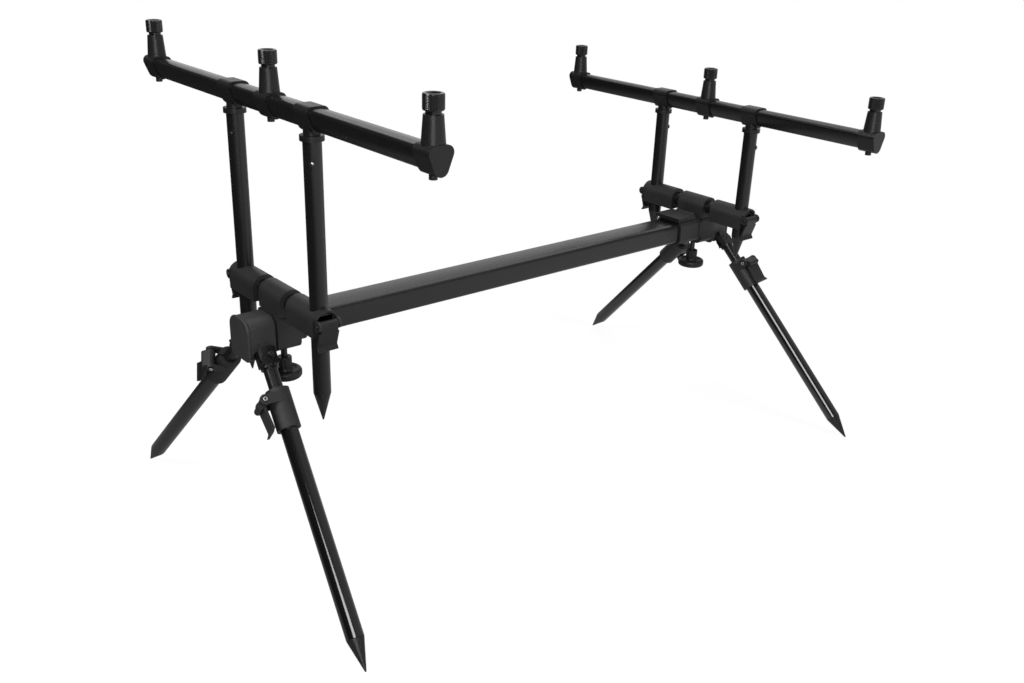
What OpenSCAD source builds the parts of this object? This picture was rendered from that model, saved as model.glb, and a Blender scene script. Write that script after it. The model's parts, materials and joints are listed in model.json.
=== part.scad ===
// Rod pod: a telescopic beam on four splayed folding legs, with a goalpost at each end whose
// bar carries three threaded inserts. Millimetres, +Z up, origin on the ground under the middle.
// The front is at -Y and has the taller goalpost. Left is -X.

/* [Beam] */
// Distance between the middles of the two heads
head_span = 580; // [520:1:700]
// Height of the beam's axis above the ground
beam_z = 226; // [205:1:260]
// Width of the outer beam tube
beam_w = 34; // [31:0.5:36]
// Height of the outer beam tube
beam_h = 24; // [22:0.5:26]
// Corner radius of the outer beam tube
beam_r = 4.5; // [3.5:0.5:6]
// Wall of both beam tubes
beam_wall = 1.8; // [1.2:0.1:2.4]
// Length of the inner beam tube
inner_len = 430; // [300:5:450]
// Length of the slide shoe's flange
shoe_len = 6; // [4:0.5:12]
// Length of the slide shoe's spigot
shoe_spigot = 10; // [6:0.5:20]
// Length of the lock collar
collar_len = 36; // [32:1:46]
// Wall of the lock collar
collar_wall = 3; // [2.5:0.5:5]
// Lip of the lock collar past the outer tube's end
collar_lip = 2.5; // [1.5:0.5:4]

/* [Beam lock lever] */
// Width of the lock lever's plate
lock_w = 38; // [32:1:42]
// Thickness of the lock lever's plate
lock_t = 4.2; // [3:0.2:6]
// Reach of the plate past the lock collar
lock_over = 5; // [0:0.5:8]
// Lock pin's distance from the collar's head end
lock_pin_in = 7; // [6:0.5:9]
// Radius of the lock lever's knuckle
lock_knuckle_r = 3; // [2.6:0.1:3.6]
// Width of the lock lever's knuckle
lock_knuckle_w = 22; // [16:1:26]

/* [Heads] */
// Width of a head body
head_w = 38; // [36.5:0.5:42]
// Head body's reach from the head's middle towards the leg block
head_out = 15; // [13.5:0.5:18]
// Head body's reach from the head's middle towards the beam
head_in = 9; // [8:0.5:12]
// Head body's top above the beam axis
head_top = 15.5; // [14:0.5:16]
// Head body's bottom below the beam axis
head_bottom = 20; // [18:0.5:22]
// Corner radius of a head body
head_r = 7; // [5:0.5:8]
// Back wall of the beam's socket in a head body
socket_back = 3; // [2:0.5:4]
// Length of the beam ferrule on the front head
ferrule_len = 6; // [4:0.5:12]
// Wall of the beam ferrules on the heads
ferrule_wall = 2; // [1.5:0.5:3]
// Length of the saddle across the head
saddle_len = 40; // [34:1:46]
// Cross shaft's axis above the beam axis
shaft_rise = 26.5; // [26:0.5:30]
// Diameter of the cross shaft
shaft_d = 16; // [14:0.5:21]
// Radius of the arched top of the saddle and the post clamps
arch_r = 12.5; // [12:0.5:14]

/* [Leg blocks] */
// Width of a leg block
block_w = 35; // [33:0.5:38]
// Length of a leg block
block_len = 24.5; // [23:0.5:28]
// Leg block's top above the beam axis
block_top = 15; // [13:0.5:17]
// Leg block's bottom below the beam axis
block_bottom = 24; // [22:0.5:26]
// Radius of a leg block's upper corners
block_r = 11; // [8:0.5:13]
// Radius of a leg block's lower corners
block_low_r = 6; // [4:0.5:8]
// Groove between a leg block and its head
groove = 1.5; // [1:0.25:3]
// Depth of that groove
groove_depth = 2.5; // [1.5:0.25:4]
// Thickness of an end cap
cap_t = 3.3; // [2:0.1:5]
// End cap's edge outside the leg block
cap_over = 0.6; // [0:0.1:1.2]

/* [Post clamps] */
// Distance between the two uprights of a goalpost
post_spacing = 138; // [130:1:150]
// Post clamp's inner end from the head's middle
clamp_in = 31; // [28:0.5:38]
// Post clamp's outer end past the upright's axis
clamp_out = 10.4; // [10:0.1:10.5]
// Post clamp's bottom below the shaft axis
clamp_below = 12.5; // [11.5:0.5:14]
// Wall between the cross shaft's end and the upright
shaft_wall = 4.5; // [3:0.5:7]
// Reach of the hood over the lever
hood_len = 2.5; // [1:0.1:3]
// Height of the hood's lower edge above the shaft axis
hood_rise = 5.5; // [5:0.1:8]
// Wall of that hood
hood_wall = 2.1; // [1.4:0.1:2.2]
// Lever pin's axis past the upright's axis
post_pin_out = 15; // [14.9:0.1:17]
// Radius of the ears on the post clamps and leg clamps
ear_r = 4.8; // [4.5:0.1:5.2]
// Thickness of an ear
ear_t = 2.4; // [2:0.1:3]
// Width of the levers on the post clamps and leg clamps, between their ears
lever_w = 17; // [15:0.5:17.5]
// Width of those levers' handles
handle_w = 20; // [16:0.5:24]
// Distance from the ears down to a lever's full width
handle_under = 2; // [1:0.5:4]
// Thickness of those levers' handles
lever_t = 2.6; // [2:0.1:3]
// Outward flare of a handle's tip
lever_flare = 2.5; // [1:0.5:4]
// Length of a handle's flared tip
flare_len = 4.5; // [3:0.5:8]
// Post lever's length below its pin
post_lever_drop = 25; // [20:0.5:32]
// Inward lean of a post lever's handle
post_lever_lean = 7; // [3:0.1:7.4]
// Radius of the levers' knuckles
knuckle_r = 4.2; // [3.6:0.1:4.4]
// Diameter of the lever pins
pin_d = 3.2; // [2.4:0.1:4]
// Diameter of a lever pin's head
pin_head_d = 5; // [4.2:0.2:6]
// Height of a lever pin's head
pin_head_h = 0.9; // [0.5:0.1:1.5]

/* [Tilt knobs] */
// Diameter of a tilt knob's stud
stud_d = 6; // [5:0.5:7]
// Length of stud that shows under the head
stud_show = 13.5; // [10:0.5:18]
// Diameter of a tilt knob's hub
hub_d = 14; // [12:0.5:16]
// Height of a tilt knob's hub
hub_h = 12; // [8:0.5:15]
// Diameter of a tilt knob's disc
disc_d = 32; // [26:0.5:32]
// Height of a tilt knob's disc
disc_h = 8.5; // [6:0.5:9]
// Rounding of the disc's rim
disc_r = 3; // [2:0.25:3.5]
// Dish depth in the disc's underside
disc_dish = 3; // [1:0.5:4]

/* [Legs] */
// Leg hinge's distance from the middle plane
hinge_x = 23.5; // [22.5:0.5:26]
// Leg hinge's distance outside the head's middle
hinge_y = 30; // [28.5:0.5:31]
// Leg hinge's depth below the beam axis
hinge_drop = 18.3; // [17.5:0.1:20]
// Splay of a leg to the side, in degrees
leg_splay = 44; // [42:0.5:46]
// Rake of a leg along the beam, in degrees
leg_rake = 5.4; // [4:0.1:7]
// Turn of the hinge screw about the leg, in degrees
hinge_turn = 25; // [24:0.5:27]
// Angle that a leg folds through, in degrees
fold = 60; // [40:1:60]
// Width of a leg's hinge knuckle
root_w = 16; // [14:0.5:17]
// Thickness of a leg's hinge knuckle
root_t = 13; // [12:0.5:14]
// Rounding of the knuckle's top about the hinge
root_top_r = 8.5; // [7.5:0.1:8.6]
// Knuckle's length below the hinge
root_below = 9; // [8:0.5:10]
// Thickness of the tongue in the knuckle's fork
tongue_t = 5; // [4:0.5:6]
// Radius of the tongue's end
tongue_r = 6; // [5:0.5:6.5]
// Length of the tongue above the hinge
tongue_len = 19; // [17:0.5:21]
// Diameter of a hinge screw
screw_d = 5; // [4:0.5:6]
// Diameter of a hinge screw's head
screw_head_d = 7.2; // [6:0.2:8]
// Height of a hinge screw's head
screw_head_h = 2.4; // [1.5:0.1:3]
// Grip of a hinge screw on each side of the hinge
screw_grip = 5; // [4.4:0.1:6]
// Radius of the ring under the knuckle
ring_r = 8.3; // [7:0.1:8.6]
// Height of that ring
ring_h = 3; // [2:0.5:4]
// Diameter of the inner leg tube
leg_inner_d = 13; // [11:0.5:13.5]
// Wall of the inner leg tube
leg_inner_wall = 1.2; // [0.8:0.1:2]
// Length of the spigots in the tube ends
spigot_len = 12; // [8:1:20]
// Diameter of the outer leg tube
leg_d = 16; // [15:0.5:18]
// Length of a leg's pointed foot
foot_len = 28; // [20:1:40]
// Radius of every point's tip
tip_r = 0.8; // [0.5:0.1:1.5]

/* [Leg clamps] */
// Leg clamp's top from the hinge, along the leg
leg_clamp_top = 33; // [28:0.5:36]
// Length of a leg clamp
leg_clamp_len = 38; // [32:0.5:39]
// Outside diameter of a leg clamp
leg_clamp_d = 22; // [21:0.5:22]
// Length of a leg clamp over the inner tube
leg_clamp_neck = 12; // [8:0.5:16]
// Width of a leg clamp's slit
slit_w = 1.6; // [1:0.1:3]
// Lever pin's distance below the clamp's top
leg_pin_down = 9; // [7:0.5:12]
// Lever pin's distance from the leg's axis
leg_pin_out = 15.5; // [15:0.5:17]
// Length of a leg lever's handle below its pin
leg_lever_drop = 31; // [26:1:40]
// Inward lean of a leg lever's handle
leg_lever_lean = 3; // [0:0.1:4]
// Reach of the thumb pad past the lever's pin
thumb_out = 4.5; // [3:0.5:6]
// Radius of the thumb pad
thumb_r = 3.4; // [2.6:0.1:4]
// Turn of the front right clamp on its leg, in degrees
front_right_turn = -7; // [-30:1:22]
// Turn of the front left clamp on its leg, in degrees
front_left_turn = 22; // [-30:1:22]
// Turn of the rear right clamp on its leg, in degrees
rear_right_turn = 90; // [-30:5:120]
// Turn of the rear left clamp on its leg, in degrees
rear_left_turn = 0; // [-30:5:120]

/* [Goalposts] */
// Diameter of an upright
post_d = 16; // [15:0.5:17]
// Wall of an upright
post_wall = 1.5; // [1:0.1:2.5]
// Length of an upright's pointed end
spike_len = 27; // [20:1:40]
// Length of a front upright with its point
front_post_len = 255; // [200:1:255]
// Height of the front uprights' rings above the post clamps
front_show = 145; // [60:1:160]
// Length of a rear upright with its point
rear_post_len = 154; // [130:1:154]
// Height of the rear uprights' rings above the post clamps
rear_show = 90; // [60:1:110]
// Distance between the front bar's outer inserts
front_bar_span = 474; // [380:1:520]
// Distance between the rear bar's outer inserts
rear_bar_span = 448; // [380:1:520]
// Diameter of the ring on top of an upright
collar_ring_d = 20.8; // [18:0.2:24]
// Height of that ring
collar_ring_h = 4.6; // [3:0.2:8]
// Diameter of a tee's stem
stem_d = 14.3; // [12:0.1:15]
// Length of stem that shows over the ring
stem_show = 2; // [1:0.5:6]
// Length of a tee's plug in the upright
plug_len = 24; // [21:1:40]
// Cross screw's distance below the ring
cross_screw_down = 17.5; // [12:0.5:18]
// Diameter of the cross screw
cross_screw_d = 2.5; // [2:0.1:3]
// Diameter of the cross screw's head
cross_head_d = 4.6; // [4:0.2:5.4]
// Height of the cross screw's head
cross_head_h = 1; // [0.6:0.1:1.6]
// Turn of the right upright's cross screw from the front, in degrees
right_screw_turn = 58; // [-90:1:90]
// Turn of the left upright's cross screw from the front, in degrees
left_screw_turn = 36; // [-90:1:90]
// Length of a tee along the bar
tee_len = 22; // [18:0.5:28]
// Wall of the tees and holders round the bar
saddle_wall = 2; // [1.5:0.1:3]

/* [Bar and holders] */
// Width of the bar tube
bar_w = 17.5; // [16:0.5:20]
// Height of the bar tube
bar_h = 18.5; // [17:0.5:22]
// Radius of the bar's upper corners
bar_top_r = 3.5; // [2.5:0.25:5]
// Radius of the bar's narrow lower edge
bar_low_r = 4.5; // [3.5:0.25:6]
// Wall of the bar tube
bar_wall = 1.5; // [1:0.1:2]
// Length of a holder along the bar
holder_len = 20; // [18.4:0.2:26]
// Height of a holder's tower
tower_h = 20; // [15:0.5:28]
// Diameter of a tower's foot
tower_low_d = 18.2; // [16.5:0.1:20]
// Diameter of a tower's top
tower_top_d = 14.9; // [13:0.1:16]
// Diameter of a holder's bolt
bolt_d = 3.8; // [3:0.1:4.5]
// Diameter of a holder's bolt head
bolt_head_d = 6.4; // [5.4:0.2:7]
// Height of a holder's bolt head
bolt_head_h = 2.4; // [1.5:0.1:4]
// Bolt's end past the bar's wall
bolt_past = 2; // [1:0.5:4]
// Height of the bolt's boss under a holder
boss_h = 0.8; // [0.4:0.1:2]

/* [Inserts] */
// Diameter of an insert's knurled ring
insert_d = 16; // [14:0.5:18]
// Height of an insert's knurled ring
insert_h = 12; // [10:0.5:15]
// Diameter of an insert's neck
insert_neck_d = 11.5; // [11.2:0.1:13]
// Height of an insert's neck
insert_neck_h = 2.6; // [2:0.1:4]
// Diameter of an insert's spigot in the tower
insert_spigot_d = 10; // [9:0.1:10.5]
// Length of an insert's spigot
insert_spigot = 12; // [8:0.5:14]
// Diameter of an insert's threaded hole
thread_d = 9.52; // [8:0.02:10]
// Depth of an insert's threaded hole
thread_depth = 13; // [8:0.5:14]

/* [Clearances] */
// Radial clearance of shafts, pins and tubes that run in a bore
run_gap = 0.05; // [0.02:0.01:0.1]
// Clearance of the telescopic beam tubes
slide_gap = 0.3; // [0.15:0.05:0.5]
// Clearance between parts that pass each other
pass_gap = 0.3; // [0.2:0.05:0.5]

/* [Hidden] */
$fn = 64;
head_y = head_span / 2;
shaft_z = beam_z + shaft_rise;
post_x = post_spacing / 2;
post_r = post_d / 2;
clamp_end = post_x + clamp_out;
shaft_half = post_x - post_r - shaft_wall;
post_pin_x = post_x + post_pin_out;
hinge_z = beam_z - hinge_drop;
leg_len = (hinge_z - tip_r) / (cos(leg_splay) * cos(leg_rake));
root_r = norm([root_t, root_w]) / 2;
root_reach = (root_t * cos(hinge_turn) + root_w * sin(hinge_turn)) / 2;
root_side = (root_t * sin(hinge_turn) + root_w * cos(hinge_turn)) / 2;
block_y0 = -head_out - groove - block_len;
collar_y = head_y - arch_r - pass_gap;
lock_pin_y = collar_y - lock_pin_in;
lock_pin_z = beam_z + beam_h / 2 + collar_wall + lock_knuckle_r;
disc_top = beam_z - head_bottom - stud_show - hub_h;
bar_end_in = holder_len / 2 - saddle_wall - run_gap;
bore_w = beam_w - 2 * beam_wall;
bore_h = beam_h - 2 * beam_wall;
bore_r = beam_r - beam_wall;
tube_start = ring_h + root_below;
leg_tube_end = leg_len - foot_len;
clamp_floor = leg_clamp_top + leg_clamp_neck;
screw_turn = [right_screw_turn, -left_screw_turn];
clamp_turn = [[front_right_turn, front_left_turn], [rear_right_turn, rear_left_turn]];
black = "#1d1d1f";
soft_black = "#29292b";
gloss_black = "#111113";

ENDS = ["front", "rear"];
SIDES = ["right", "left"];
PLACES = ["left", "mid", "right"];
HEAD = ["head_body", "leg_block", "end_cap", "cross_shaft", "tilt_knob"];
POST = ["post_clamp", "post_lever"];
LEG = ["leg_arm", "leg_clamp", "leg_lever", "leg_tube", "leg_foot"];
GOAL = ["bar_tube", "uprights", "upright_spikes", "tees", "holders"];
BEAM = ["beam_outer_tube", "beam_inner_tube", "beam_slide_shoe", "beam_lock_collar", "beam_lock_lever"];

function offset_ring(ring, by) = [for (c = ring) [c[0], c[1], c[2] + by]];
function tangent(a, b) =
    let (d = [b[0] - a[0], b[1] - a[1]] / norm([b[0] - a[0], b[1] - a[1]]))
    let (c = (a[2] - b[2]) / norm([b[0] - a[0], b[1] - a[1]]))
    let (s = sqrt(1 - c * c))
    [d[0] * c + d[1] * s, d[1] * c - d[0] * s];
function touch(c, t) = [c[0] + c[2] * t[0], c[1] + c[2] * t[1]];
function post_len(e) = e == 0 ? front_post_len : rear_post_len;
function ring_z(e) = shaft_z + arch_r + (e == 0 ? front_show : rear_show);
function bar_span(e) = e == 0 ? front_bar_span : rear_bar_span;
function bar_top(e) = ring_z(e) + collar_ring_h + stem_show + saddle_wall + run_gap + bar_h;
function tower_top(e) = bar_top(e) + run_gap + saddle_wall + tower_h;
function bar_ring() = [
    [0, bar_low_r - bar_h, bar_low_r],
    [bar_w / 2 - bar_top_r, -bar_top_r, bar_top_r],
    [bar_top_r - bar_w / 2, -bar_top_r, bar_top_r],
];
function block_ring() = [
    [block_low_r - block_w / 2, block_low_r - block_bottom, block_low_r],
    [block_w / 2 - block_low_r, block_low_r - block_bottom, block_low_r],
    [block_w / 2 - block_r, block_top - block_r, block_r],
    [block_r - block_w / 2, block_top - block_r, block_r],
];
function head_ring() = [
    [head_r - head_w / 2, head_r - head_bottom, head_r],
    [head_w / 2 - head_r, head_r - head_bottom, head_r],
    [head_w / 2 - head_r, head_top - head_r, head_r],
    [head_r - head_w / 2, head_top - head_r, head_r],
];

// Convex outline that runs round circles given as [x, y, radius], anticlockwise
module outline(ring) {
    n = len(ring);
    ends = [for (i = [0 : n - 1]) [ring[i], ring[(i + 1) % n], tangent(ring[i], ring[(i + 1) % n])]];
    polygon([for (p = ends) each [touch(p[0], p[2]), touch(p[1], p[2])]]);
    for (c = ring) translate([c[0], c[1]]) circle(c[2]);
}

// Rectangle with round corners about the origin
module round_rect(w, h, r) {
    square([w, h - 2 * r], center = true);
    square([w - 2 * r, h], center = true);
    for (x = [-1, 1], y = [-1, 1]) translate([x * (w / 2 - r), y * (h / 2 - r)]) circle(r);
}

// Arched outline about the shaft axis, down to a depth below it
module arch(r, below) {
    circle(r);
    translate([-r, -below]) square([2 * r, below]);
}

// Outline in X and Z, run along Y
module along_y(from, to) {
    translate([0, to, 0]) rotate([90, 0, 0]) linear_extrude(to - from) children();
}

// Outline in Y and Z, run along X
module along_x(from, to) {
    translate([from, 0, 0]) rotate([90, 0, 90]) linear_extrude(to - from) children();
}

// Straight rod along Y
module rod_y(from, to, d) {
    along_y(from, to) circle(d / 2);
}

// Straight rod along X
module rod_x(from, to, d) {
    along_x(from, to) circle(d / 2);
}

// Straight rod along Z
module rod_z(from, to, d) {
    translate([0, 0, from]) cylinder(d = d, h = to - from);
}

// Point of a tube, tip down at the origin, with a spigot in the tube's bore
module point(len, d, bore) {
    sphere(tip_r);
    rotate_extrude() polygon([
        [0, 0], [tip_r, 0], [d / 2, len], [bore / 2 - run_gap, len],
        [bore / 2 - run_gap, len + spigot_len], [0, len + spigot_len],
    ]);
}

// Lever pin through ears that are as far apart as given, with a head outside each
module lever_pin(half) {
    rod_y(-half - pin_head_h, half + pin_head_h, pin_d);
    for (m = [0, 1]) mirror([0, m, 0]) rod_y(half + run_gap, half + pin_head_h, pin_head_d);
}

module at_end(e) {
    if (e == 0) translate([0, -head_y, 0]) children();
    else mirror([0, 1, 0]) translate([0, -head_y, 0]) children();
}

module at_side(s) {
    if (s == 0) children();
    else mirror([1, 0, 0]) children();
}

module at_hinge(s) {
    at_side(s) translate([hinge_x, -hinge_y, hinge_z]) rotate([-leg_rake, -leg_splay, 0]) children();
}

module at_leg(e, s) {
    at_end(e) at_hinge(s) children();
}

// Leg clamp's frame, turned on the leg
module at_leg_clamp(e, s) {
    at_leg(e, s) rotate([0, 0, clamp_turn[e][s]]) children();
}

module beam_outline(w, h, r) {
    translate([0, beam_z]) round_rect(w, h, r);
}

module stud_hole(e) {
    at_end(e) rod_z(beam_z - beam_h, beam_z + beam_h, stud_d + 2 * pass_gap);
}

module beam_outer_tube() color(soft_black) difference() {
    along_y(socket_back - head_out - head_y, collar_y - collar_lip) beam_outline(beam_w, beam_h, beam_r);
    along_y(-head_out - head_y, collar_y) beam_outline(bore_w, bore_h, bore_r);
    stud_hole(0);
}

module inner_outline(by) {
    beam_outline(bore_w - 2 * slide_gap + 2 * by, bore_h - 2 * slide_gap + 2 * by, bore_r - slide_gap + by);
}

module beam_inner_tube() color(black) difference() {
    along_y(head_y + head_out - socket_back - inner_len, head_y + head_out - socket_back) inner_outline(0);
    along_y(head_y - inner_len, head_y + head_out) inner_outline(-beam_wall);
    stud_hole(1);
}

module beam_slide_shoe() color(soft_black) {
    inner_end = head_y + head_out - socket_back - inner_len;
    along_y(inner_end - shoe_len, inner_end) inner_outline(slide_gap - 2 * run_gap);
    along_y(inner_end, inner_end + shoe_spigot) inner_outline(-beam_wall - run_gap);
}

module beam_lock_collar() color(soft_black) difference() {
    half = lock_knuckle_w / 2 + run_gap;
    union() {
        along_y(collar_y - collar_len, collar_y)
            beam_outline(beam_w + 2 * collar_wall, beam_h + 2 * collar_wall, beam_r + collar_wall);
        for (m = [0, 1]) mirror([m, 0, 0]) along_x(half, half + ear_t) {
            translate([lock_pin_y, lock_pin_z]) circle(lock_knuckle_r + run_gap);
            translate([lock_pin_y - lock_knuckle_r, beam_z + beam_h / 2 + collar_wall / 2])
                square([2 * lock_knuckle_r, lock_pin_z - beam_z - beam_h / 2 - collar_wall / 2]);
        }
    }
    along_y(collar_y - collar_len - 1, collar_y - collar_lip)
        beam_outline(beam_w + 2 * run_gap, beam_h + 2 * run_gap, beam_r + run_gap);
    along_y(collar_y - collar_lip - 1, collar_y + 1) inner_outline(slide_gap);
    translate([0, lock_pin_y, lock_pin_z]) rod_x(-beam_w, beam_w, pin_d + 2 * run_gap);
}

module beam_lock_lever() color(black) {
    plate_y = collar_y - collar_len - lock_over;
    plate_z = lock_pin_z - lock_knuckle_r + pass_gap;
    difference() {
        union() {
            translate([0, lock_pin_y, lock_pin_z])
                rod_x(-lock_knuckle_w / 2, lock_knuckle_w / 2, 2 * lock_knuckle_r - 2 * pass_gap);
            along_x(-lock_knuckle_w / 2, lock_knuckle_w / 2)
                translate([lock_pin_y - lock_knuckle_r - 1, plate_z]) square([lock_knuckle_r + 1, lock_t]);
            along_x(-lock_w / 2, lock_w / 2) translate([plate_y, plate_z])
                square([lock_pin_y - lock_knuckle_r - pass_gap - plate_y, lock_t]);
        }
        translate([0, lock_pin_y, lock_pin_z]) rod_x(-lock_w, lock_w, pin_d + 2 * run_gap);
    }
    translate([0, lock_pin_y, lock_pin_z]) rotate([0, 0, 90]) lever_pin(lock_knuckle_w / 2 + run_gap + ear_t);
}

module head_body(e) color(soft_black) at_end(e) difference() {
    union() {
        along_y(-head_out, head_in) translate([0, beam_z]) outline(head_ring());
        along_x(-saddle_len / 2, saddle_len / 2)
            translate([0, shaft_z]) arch(arch_r, clamp_below);
        along_y(head_in, e == 0 ? head_in + ferrule_len : arch_r)
            beam_outline(beam_w + 2 * ferrule_wall, beam_h + 2 * ferrule_wall, beam_r + ferrule_wall);
    }
    along_y(socket_back - head_out - run_gap, head_in + ferrule_len + 1) {
        if (e == 0) beam_outline(beam_w + 2 * run_gap, beam_h + 2 * run_gap, beam_r + run_gap);
        else inner_outline(run_gap);
    }
    translate([0, 0, shaft_z]) rod_x(-saddle_len, saddle_len, shaft_d + 2 * run_gap);
    rod_z(beam_z - 2 * head_bottom, shaft_z, stud_d + 2 * run_gap);
}

// Hinge screw's axis laid along X
module on_screw() {
    rotate([0, 0, hinge_turn]) children();
}

module tongue(s) {
    at_hinge(s) on_screw() along_x(-tongue_t / 2, tongue_t / 2) {
        circle(tongue_r);
        translate([-tongue_r, 0]) square([2 * tongue_r, tongue_len]);
    }
}

// Outline of the room that a knuckle takes as its leg folds
module knuckle_room() {
    out = root_side + pass_gap;
    far = norm([root_side, root_below + ring_h]) + pass_gap;
    circle(root_top_r + pass_gap);
    intersection() {
        circle(far);
        polygon([
            [0, 0], [-out, 0], [-out, -far], [far, -far],
            [far, (out - far * cos(fold)) / sin(fold)], [out * cos(fold), out * sin(fold)],
        ]);
    }
}

module leg_block(e) color(soft_black) at_end(e) difference() {
    union() {
        difference() {
            union() {
                along_y(block_y0, -head_out - groove) translate([0, beam_z]) outline(block_ring());
                along_y(-head_out - groove, -head_out - run_gap)
                    translate([0, beam_z]) outline(offset_ring(block_ring(), -groove_depth));
            }
            for (s = [0, 1]) at_hinge(s) on_screw()
                along_x(-root_reach - pass_gap, 2 * root_r) knuckle_room();
        }
        for (s = [0, 1]) tongue(s);
    }
    for (s = [0, 1]) at_hinge(s) on_screw() rod_x(-root_r, root_r, screw_d + 2 * run_gap);
}

module end_cap(e) color(black) at_end(e)
    along_y(block_y0 - run_gap - cap_t, block_y0 - run_gap)
        translate([0, beam_z]) outline(offset_ring(block_ring(), cap_over));

module cross_shaft(e) color(black) at_end(e)
    translate([0, 0, shaft_z]) rod_x(-shaft_half, shaft_half, shaft_d);

module post_clamp(e, s) color(soft_black) at_end(e) at_side(s) difference() {
    ear_y = lever_w / 2 + pass_gap;
    union() {
        along_x(clamp_in, clamp_end) translate([0, shaft_z]) arch(arch_r, clamp_below);
        along_x(clamp_end, clamp_end + hood_len) translate([0, shaft_z]) difference() {
            circle(arch_r);
            circle(arch_r - hood_wall);
            translate([-arch_r, hood_rise - 2 * arch_r]) square(2 * arch_r);
        }
        for (m = [0, 1]) mirror([0, m, 0]) along_y(ear_y, ear_y + ear_t) translate([0, shaft_z]) {
            translate([post_pin_x, 0]) circle(ear_r);
            translate([clamp_end - 1, -ear_r]) square([post_pin_x - clamp_end + 1, 2 * ear_r]);
        }
    }
    translate([post_x, 0, 0]) rod_z(0, 2 * shaft_z, post_d + 2 * run_gap);
    translate([0, 0, shaft_z]) rod_x(0, shaft_half + run_gap, shaft_d + 2 * run_gap);
    translate([post_pin_x, 0, shaft_z]) rod_y(-head_w, head_w, pin_d + 2 * run_gap);
}

// Lever handle's outline from a depth below its pin, outwards along +X, leaning in to a flared tip
module handle_outline(drop, from, lean) {
    knee = drop - flare_len;
    top = knuckle_r - lean * from / knee;
    low = knuckle_r - lean;
    polygon([
        [top - lever_t, -from], [low - lever_t, -knee], [low - lever_t + lever_flare, -drop],
        [low + lever_flare, -drop], [low, -knee], [top, -from],
    ]);
}

// Lever about its pin at the origin, with the pin
module lever(drop, lean) {
    difference() {
        union() {
            along_y(-lever_w / 2, lever_w / 2) {
                circle(knuckle_r);
                handle_outline(drop, 0, lean);
            }
            along_y(-handle_w / 2, handle_w / 2) handle_outline(drop, ear_r + handle_under, lean);
            children();
        }
        rod_y(-handle_w, handle_w, pin_d + 2 * run_gap);
    }
    lever_pin(lever_w / 2 + pass_gap + ear_t);
}

module post_lever(e, s) color(black) at_end(e) at_side(s) translate([post_pin_x, 0, shaft_z])
    lever(post_lever_drop, post_lever_lean);

module tilt_knob(e) color(black) at_end(e) {
    rod_z(disc_top, shaft_z - shaft_d / 2 - 2 * pass_gap, stud_d);
    difference() {
        union() {
            rod_z(disc_top - 1, disc_top + hub_h, hub_d);
            translate([0, 0, disc_top - disc_h]) rotate_extrude() {
                square([disc_d / 2 - disc_r, disc_h]);
                translate([0, disc_r]) square([disc_d / 2, disc_h - 2 * disc_r]);
                for (z = [disc_r, disc_h - disc_r]) translate([disc_d / 2 - disc_r, z]) circle(disc_r);
            }
        }
        translate([0, 0, disc_top - disc_h]) rod_z(-1, disc_dish, disc_d - 4 * disc_r);
        rod_z(disc_top, disc_top + 2 * hub_h, stud_d + 2 * run_gap);
    }
}

module leg_arm(e, s) color(black) at_leg(e, s) {
    difference() {
        union() {
            intersection() {
                translate([-root_t / 2, -root_w / 2, -root_below])
                    cube([root_t, root_w, root_below + root_top_r]);
                union() {
                    on_screw() rod_x(-2 * root_r, 2 * root_r, 2 * root_top_r);
                    rod_z(-root_below, 0, 3 * root_r);
                }
            }
            rod_z(-tube_start, -root_below, 2 * ring_r);
            rod_z(-tube_start - spigot_len, -tube_start, leg_inner_d - 2 * leg_inner_wall - 2 * run_gap);
        }
        on_screw() {
            along_x(-tongue_t / 2 - pass_gap, tongue_t / 2 + pass_gap) {
                circle(tongue_r + pass_gap);
                translate([-2 * root_r, -tongue_r - pass_gap]) square([4 * root_r, 3 * root_r]);
            }
            rod_x(-2 * root_r, 2 * root_r, screw_d + 2 * run_gap);
            for (m = [0, 1]) mirror([m, 0, 0])
                rod_x(screw_grip, 2 * root_r, screw_head_d + 2 * run_gap);
        }
    }
    difference() {
        rod_z(spigot_len + pass_gap - leg_tube_end, -tube_start - run_gap, leg_inner_d);
        rod_z(-leg_len, -tube_start, leg_inner_d - 2 * leg_inner_wall);
    }
    on_screw() {
        rod_x(-screw_grip - screw_head_h, screw_grip + screw_head_h, screw_d);
        for (m = [0, 1]) mirror([m, 0, 0])
            rod_x(screw_grip + run_gap, screw_grip + screw_head_h, screw_head_d);
    }
}

module leg_clamp(e, s) color(soft_black) at_leg_clamp(e, s) difference() {
    pin_z = -leg_clamp_top - leg_pin_down;
    ear_x = lever_w / 2 + pass_gap;
    union() {
        rod_z(-leg_clamp_top - leg_clamp_len, -leg_clamp_top, leg_clamp_d);
        for (m = [0, 1]) mirror([m, 0, 0]) along_x(ear_x, ear_x + ear_t) {
            translate([-leg_pin_out, pin_z]) circle(ear_r);
            translate([-leg_pin_out, pin_z - ear_r]) square([leg_pin_out, 2 * ear_r]);
        }
    }
    rod_z(-leg_len, 0, leg_inner_d + 2 * run_gap);
    rod_z(-leg_len, -clamp_floor, leg_d + 2 * run_gap);
    translate([-slit_w / 2, -leg_d, -clamp_floor]) cube([slit_w, leg_d, leg_clamp_len]);
    translate([0, -leg_pin_out, pin_z]) rod_x(-leg_d, leg_d, pin_d + 2 * run_gap);
}

module leg_lever(e, s) color(black) at_leg_clamp(e, s)
    translate([0, -leg_pin_out, -leg_clamp_top - leg_pin_down]) rotate([0, 0, -90])
        lever(leg_lever_drop, leg_lever_lean)
            along_y(-lever_w / 2, lever_w / 2)
                outline([[0, 0, knuckle_r], [thumb_out, -thumb_out, thumb_r], [0, run_gap, knuckle_r]]);

module leg_tube(e, s) color(gloss_black) at_leg(e, s) difference() {
    rod_z(-leg_tube_end, -clamp_floor - run_gap, leg_d);
    rod_z(-leg_len, 0, leg_inner_d + 2 * run_gap);
}

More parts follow.
